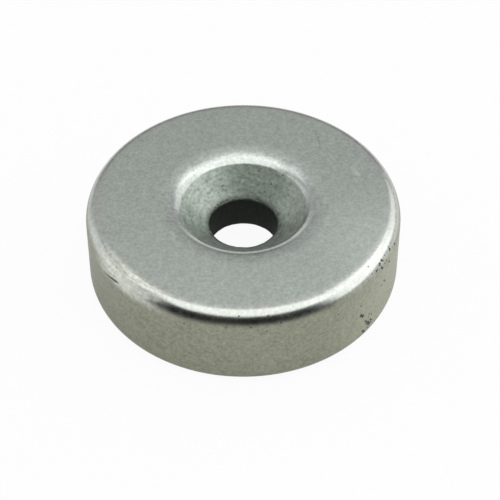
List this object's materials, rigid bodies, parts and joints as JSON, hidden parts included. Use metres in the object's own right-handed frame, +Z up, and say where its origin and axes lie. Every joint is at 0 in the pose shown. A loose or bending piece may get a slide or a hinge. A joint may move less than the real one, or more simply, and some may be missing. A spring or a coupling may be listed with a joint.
{
  "type": "countersunk ring magnet",
  "caption": "Thick round ring magnet with rounded edges and a screw hole countersunk from both faces, screwed down as a holding magnet or catch.",
  "frame": {"origin": "centre of the lower face", "axes": "+Z up the screw hole, out of the upper face"},
  "size_m": [0.02, 0.02, 0.006],
  "materials": {
    "plated_magnet": "tumbled satin nickel plate"
  },
  "bodies": {
    "root": {"ring_magnet": "plated_magnet"}
  },
  "joints": []
}
